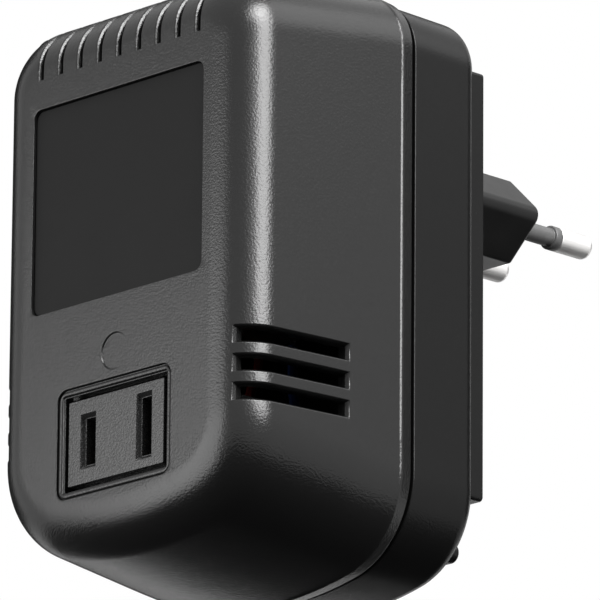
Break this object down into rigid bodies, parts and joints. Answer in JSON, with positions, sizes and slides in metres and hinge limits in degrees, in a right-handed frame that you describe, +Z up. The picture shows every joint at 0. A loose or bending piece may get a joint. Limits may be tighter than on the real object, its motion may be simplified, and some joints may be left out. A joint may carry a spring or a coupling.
{
  "type": "travel voltage converter",
  "caption": "Plug-in step-down voltage converter: a vented grey casing with a flat-blade socket in front, a round-pin plug block behind and an autotransformer inside.",
  "frame": {"origin": "centre of the plug block's end face, midway between the two pins", "axes": "+Y out along the pins towards the wall outlet, -Y out of the front face, +Z up, +X to the right seen from the front"},
  "size_m": [0.0592, 0.0967, 0.0966],
  "materials": {
    "casing": "fine spark-eroded grain",
    "label": "flat printed film",
    "plug": "smooth moulded",
    "pin": "bright nickel plate",
    "sleeve": "smooth moulded",
    "socket": "coarse grain",
    "screw": "zinc plate",
    "contact": "rolled strip",
    "core": "varnished laminations",
    "bobbin": "moulded",
    "winding": "enamelled copper wire",
    "tape": "polyester tape",
    "fuse": "ceramic body",
    "brown_lead": "smooth insulation",
    "blue_lead": "smooth insulation",
    "red_lead": "smooth insulation"
  },
  "bodies": {
    "converter": {"front_shell": "casing", "rear_shell": "casing", "rating_label": "label", "plug_block": "plug", "live_pin": "pin", "neutral_pin": "pin", "live_pin_sleeve": "sleeve", "neutral_pin_sleeve": "sleeve", "plug_screws": "screw", "socket_block": "socket", "socket_cap": "socket", "socket_screws": "screw", "live_contact": "contact", "neutral_contact": "contact", "core_e": "core", "core_i": "core", "bobbin": "bobbin", "common_winding": "winding", "layer_tape": "tape", "series_winding": "winding", "outer_tape": "tape", "winding_terminals": "pin", "thermal_fuse": "fuse", "live_lead": "brown_lead", "fuse_lead": "brown_lead", "neutral_lead": "blue_lead", "tap_lead": "red_lead", "common_lead": "blue_lead", "case_screws": "screw"},
    "live_leaf_left_body": {"live_leaf_left": "contact"},
    "live_leaf_right_body": {"live_leaf_right": "contact"},
    "neutral_leaf_left_body": {"neutral_leaf_left": "contact"},
    "neutral_leaf_right_body": {"neutral_leaf_right": "contact"}
  },
  "joints": [
    {"name": "live_leaf_left_spring", "type": "hinge", "parent": "converter", "child": "live_leaf_left_body", "pos_m": [-0.00915, -0.0601, -0.0488], "axis": [0, 0, -1], "range_deg": [0, 3.5], "stiffness_Nm_per_rad": 0.3},
    {"name": "live_leaf_right_spring", "type": "hinge", "parent": "converter", "child": "live_leaf_right_body", "pos_m": [-0.00355, -0.0601, -0.0488], "axis": [0, 0, 1], "range_deg": [0, 3.5], "stiffness_Nm_per_rad": 0.3},
    {"name": "neutral_leaf_left_spring", "type": "hinge", "parent": "converter", "child": "neutral_leaf_left_body", "pos_m": [0.00355, -0.0601, -0.0488], "axis": [0, 0, -1], "range_deg": [0, 3.5], "stiffness_Nm_per_rad": 0.3},
    {"name": "neutral_leaf_right_spring", "type": "hinge", "parent": "converter", "child": "neutral_leaf_right_body", "pos_m": [0.00915, -0.0601, -0.0488], "axis": [0, 0, 1], "range_deg": [0, 3.5], "stiffness_Nm_per_rad": 0.3}
  ]
}
